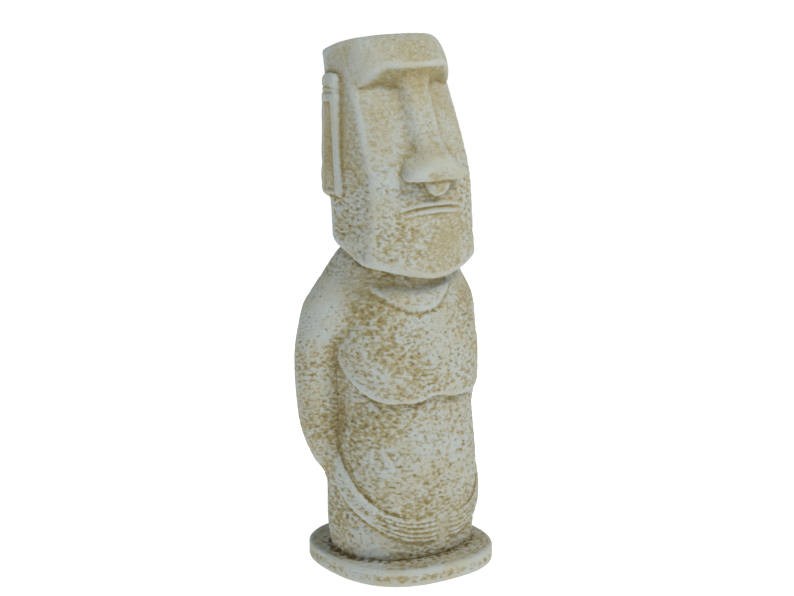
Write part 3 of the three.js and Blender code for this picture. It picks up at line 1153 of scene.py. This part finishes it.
@dataclass(frozen=True)
class CastStone:
    """Reconstituted limestone, cast in a rubber mould and aged with a tan wash.

    White cement and fine stone dust give a matt, chalky ground. The wash was brushed on and wiped off, so it
    stays in the tooled pits and grooves and is gone from every edge. Over it lie lines of painted shade in
    the seams' creases, painted shade on faces that turn down and under the jaw, and painted light on the
    shoulder.
    """

    white: str = "#A9AEAB"
    cream: str = "#A8A697"
    tan: str = "#968B66"
    deep_tan: str = "#7B6E48"
    brown: str = "#664E2C"
    grit_mm: float = 0.9
    pit_mm: float = 4.3
    fine_mm: float = 2.0
    cloud_mm: float = 26
    bump_mm: float = 0.9
    bump_strength: float = 0.8
    gouge_least: float = 0.6
    gouge_bold: float = 2.3
    grain: float = 0.9
    speckle: float = 0.8
    # Painted shade: the dark line laid along the creases where arm meets body, nose and ear meet head, and
    # the lips meet.
    crease_shade: str = "#655A39"
    shade_lines: ClassVar[dict[str, Row]] = {
        "arm_seam": (2.3, 0.75),
        "nose_seam": (1.9, 0.6),
        "ear_seam": (1.6, 0.6),
        "lip_seam": (1.5, 0.7),
    }

    def build(self) -> bpy.types.Material:
        """Makes the material.

        The colour goes from white through tan to deep tan as wash with its painted shade and light, pits,
        grain and speckle add up. Brown grime and lines of painted shade in the seams' creases, each with its
        width in millimetres and its share, are laid over it.

        Returns:
            The material.
        """
        n = Nodes("cast_stone_limewash")
        place = n.add("TexCoord").outputs["Object"]
        wide = {"Vector": place, "Location": (0.013, 0, 0.007), "Scale": (1, 1, 1.55)}
        flat = n.add("Mapping", wide).outputs[0]
        grit, pit, fine, cloud = [
            n.add("TexNoise", {"Vector": at, "Scale": per_metre(size), "Detail": detail}).outputs[0]
            for at, size, detail in (
                (place, self.grit_mm, 2.0),
                (flat, self.pit_mm, 1.0),
                (flat, self.fine_mm, 1.0),
                (place, self.cloud_mm, 3.0),
            )
        ]
        # The wash attribute carries painted shade and painted light as well as the wash.
        marks = ("wash_and_painted_light", "pits", "bold", "grime")
        wash_and_painted_light, pits, bold, grime = [n.add("Attribute", attribute_name=a).outputs["Fac"] for a in marks]

        def math_(how: str, a: object, b: object) -> bpy.types.NodeSocket:
            """Adds a sum, product or other operation of two sockets or numbers."""
            return n.add("Math", {0: a, 1: b}, operation=how).outputs[0]

        def ramp(value: bpy.types.NodeSocket, low: float, high: float) -> bpy.types.NodeSocket:
            """Adds a smooth step from 0 at low to 1 at high."""
            step = {"Value": value, "From Min": low, "From Max": high}
            return n.add("MapRange", step, interpolation_type="SMOOTHSTEP").outputs[0]

        def blend(a: object, b: object, share: object) -> bpy.types.NodeSocket:
            """Adds a mix of two colours."""
            mixer = n.add("Mix", {"Factor": share}, data_type="RGBA")
            for socket, value in zip(mixer.inputs[6:8], (a, b)):
                if isinstance(value, bpy.types.NodeSocket):
                    n.tree.links.new(value, socket)
                else:
                    socket.default_value = value
            return mixer.outputs[2]

        speckle = math_("MULTIPLY", math_("SUBTRACT", grit, 0.5), self.speckle)
        strength = math_("ADD", math_("MULTIPLY", bold, self.gouge_bold), self.gouge_least)
        gouged = math_("MULTIPLY", math_("SUBTRACT", pit, 0.5), strength)
        grain = math_("MULTIPLY", math_("SUBTRACT", fine, 0.5), self.grain)
        tooled = math_("ADD", math_("ADD", gouged, grain), pits)
        level = math_("ADD", math_("ADD", tooled, speckle), wash_and_painted_light)
        tan_share = ramp(level, -0.42, 0.70)
        deep_share = ramp(level, 0.45, 1.5)
        pale = blend(linear(self.white), linear(self.cream), ramp(cloud, 0.35, 0.7))
        colour = blend(pale, linear(self.tan), tan_share)
        colour = blend(colour, linear(self.deep_tan), deep_share)
        dark = ramp(math_("ADD", grime, math_("MULTIPLY", tooled, 0.45)), 0.2, 0.95)
        colour = blend(colour, linear(self.brown), dark)
        # Lines of painted shade, drawn along each seam's crease.
        for name, (width, share) in self.shade_lines.items():
            gap = math_("ABSOLUTE", n.add("Attribute", attribute_name=name).outputs["Fac"], 0)
            ragged = math_("ADD", gap, math_("MULTIPLY", fine, 1.3))
            crease_shade = math_("MULTIPLY", ramp(ragged, width, 0.3), share)
            colour = blend(colour, linear(self.crease_shade), crease_shade)
        rough = n.add("MapRange", {"Value": tan_share, "To Min": 0.8, "To Max": 0.95}).outputs[0]
        height = math_("SUBTRACT", math_("MULTIPLY", grit, 0.4), math_("MULTIPLY", tooled, 0.9))
        deep = {"Height": height, "Strength": self.bump_strength, "Distance": self.bump_mm * MM}
        look = {
            "Base Color": colour,
            "Roughness": rough,
            "Normal": n.add("Bump", deep).outputs[0],
            "Specular IOR Level": 0.25,
        }
        surface = n.add("BsdfPrincipled", look)
        n.add("OutputMaterial", {"Surface": surface.outputs[0]})
        return n.material


@dataclass
class Studio:
    """A plain pale floor, soft lights and a camera at the photograph's angle, in metres."""

    azimuth: float = -35
    distance: float = 1.686
    height: float = 0.63
    pitch: float = 12.24
    yaw: float = 0.1
    lens: float = 80
    floor_size: float = 12
    floor_rise: float = 3.4
    floor_drop: float = 0.0005
    floor_glow: float = 0.7
    floor_white: str = "#F2F2F0"
    sky_tint: Row = (0.92, 0.98, 1.0, 1)
    sky_glow: float = 0.34
    aim: tuple[float, float, float] = (0, 0, 0.25)

    def camera(self) -> None:
        """Places the camera and makes it the scene's own."""
        data = bpy.data.cameras.new("view")
        data.lens = self.lens
        data.sensor_width = 36
        thing = add_object("view", data)
        turn = math.radians(self.azimuth)
        thing.location = (math.sin(turn) * self.distance, -math.cos(turn) * self.distance, self.height)
        pitch, yaw = math.radians(self.pitch), turn + math.radians(self.yaw)
        ahead = Vector((-math.sin(yaw) * math.cos(pitch), math.cos(yaw) * math.cos(pitch), -math.sin(pitch)))
        thing.rotation_mode = "QUATERNION"
        thing.rotation_quaternion = ahead.to_track_quat("-Z", "Y")
        bpy.context.scene.camera = thing

    def lamp(self, name: str, place: Row, size: float, watts: float, tint: Row) -> None:
        """Hangs a square soft light that looks at the figure.

        Args:
            name: The lamp's name.
            place: Where it hangs.
            size: Its side.
            watts: Its power.
            tint: Its colour.
        """
        data = bpy.data.lights.new(name, "AREA")
        data.size = size
        data.energy = watts
        data.color = tint
        thing = add_object(name, data)
        thing.location = place
        thing.rotation_mode = "QUATERNION"
        thing.rotation_quaternion = (Vector(self.aim) - Vector(place)).to_track_quat("-Z", "Y")

    def floor(self) -> None:
        """Lays the floor, just below the slab, a shallow bowl so that its far edge is never seen."""
        steps = np.linspace(-1, 1, 41)
        u, v = np.meshgrid(steps, steps)
        height = self.floor_rise * ease(0.5, 1.0, np.hypot(u, v) / 1.42) - self.floor_drop
        points = np.stack([u * self.floor_size, v * self.floor_size, height], axis=2).reshape(-1, 3)
        index = np.arange(len(points)).reshape(u.shape)
        faces = np.stack([index[:-1, :-1], index[:-1, 1:], index[1:, 1:], index[1:, :-1]], axis=2)
        data = bpy.data.meshes.new("floor")
        data.from_pydata(points.tolist(), [], faces.reshape(-1, 4).tolist())
        n = Nodes("white_studio_paper")
        look = {
            "Base Color": linear(self.floor_white),
            "Roughness": 0.9,
            "Emission Color": (1, 1, 1, 1),
            "Emission Strength": self.floor_glow,
        }
        surface = n.add("BsdfPrincipled", look)
        n.add("OutputMaterial", {"Surface": surface.outputs[0]})
        data.materials.append(n.material)
        thing = add_object("floor", data)

    def light(self) -> None:
        """Sets a pale sky and the lights, and shows colours as they are."""
        scene = bpy.context.scene
        world = bpy.data.worlds.new("white_room")
        world.use_nodes = True
        sky = world.node_tree.nodes["Background"]
        sky.inputs["Color"].default_value = self.sky_tint
        sky.inputs["Strength"].default_value = self.sky_glow
        scene.world = world
        scene.view_settings.view_transform = "Standard"
        self.lamp("key", (0.5, -1.3, 2.1), size=0.7, watts=31, tint=(1, 0.975, 0.92))
        self.lamp("fill", (-1.4, -0.8, 2.5), size=1.2, watts=13, tint=(0.86, 0.96, 1))


def main() -> None:
    """Builds the statue and its studio in order, and reports each."""
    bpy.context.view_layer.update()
    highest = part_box(NODE)[1]
    skin = Statue().build(highest.z)
    LOG.info("skin: %d points, %d faces", len(skin.data.vertices), len(skin.data.polygons))
    skin.data.materials.append(CastStone().build())
    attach(skin, "root")
    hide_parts(NODE)
    studio = Studio()
    studio.camera()
    studio.light()
    studio.floor()
    LOG.info("studio: camera %s degrees round", studio.azimuth)


if __name__ == "__main__":
    logging.basicConfig(level=logging.INFO, format="%(name)s: %(message)s")
    main()
